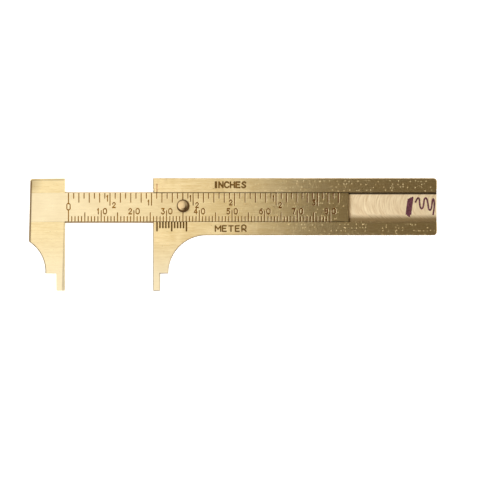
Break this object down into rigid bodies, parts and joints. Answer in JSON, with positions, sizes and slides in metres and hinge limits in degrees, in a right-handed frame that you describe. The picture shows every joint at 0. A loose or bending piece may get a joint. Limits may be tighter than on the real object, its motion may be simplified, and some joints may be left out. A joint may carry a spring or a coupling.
{
  "type": "sliding brass gauge",
  "caption": "Flat brass sliding gauge with two stepped jaws, a dovetailed scale bar with inch and millimetre scales, a vernier and a riveted thumb stud.",
  "frame": {"origin": "middle of the footprint at rest, on the surface that the gauge lies on", "axes": "+X along the slide, from the moving head to the grip's end; +Y away from the jaws; +Z out of the graduated face"},
  "size_m": [0.1248, 0.0344, 0.0045],
  "materials": {
    "frame_brass": "brushed along the length, lightly tarnished",
    "head_brass": "brushed along the length",
    "bar_brass": "brushed along the length, with dark engraved scales",
    "stud_brass": "turned and worn",
    "spring_bronze": "dull bronze strip"
  },
  "bodies": {
    "frame": {"frame_plate": "frame_brass", "friction_spring": "spring_bronze"},
    "slide": {"scale_bar": "bar_brass", "head_jaw": "head_brass", "thumb_stud": "stud_brass"}
  },
  "joints": [
    {"name": "jaw_slide", "type": "slide", "parent": "frame", "child": "slide", "axis": [-1, 0, 0], "range_m": [-0.027, 0.053]}
  ]
}
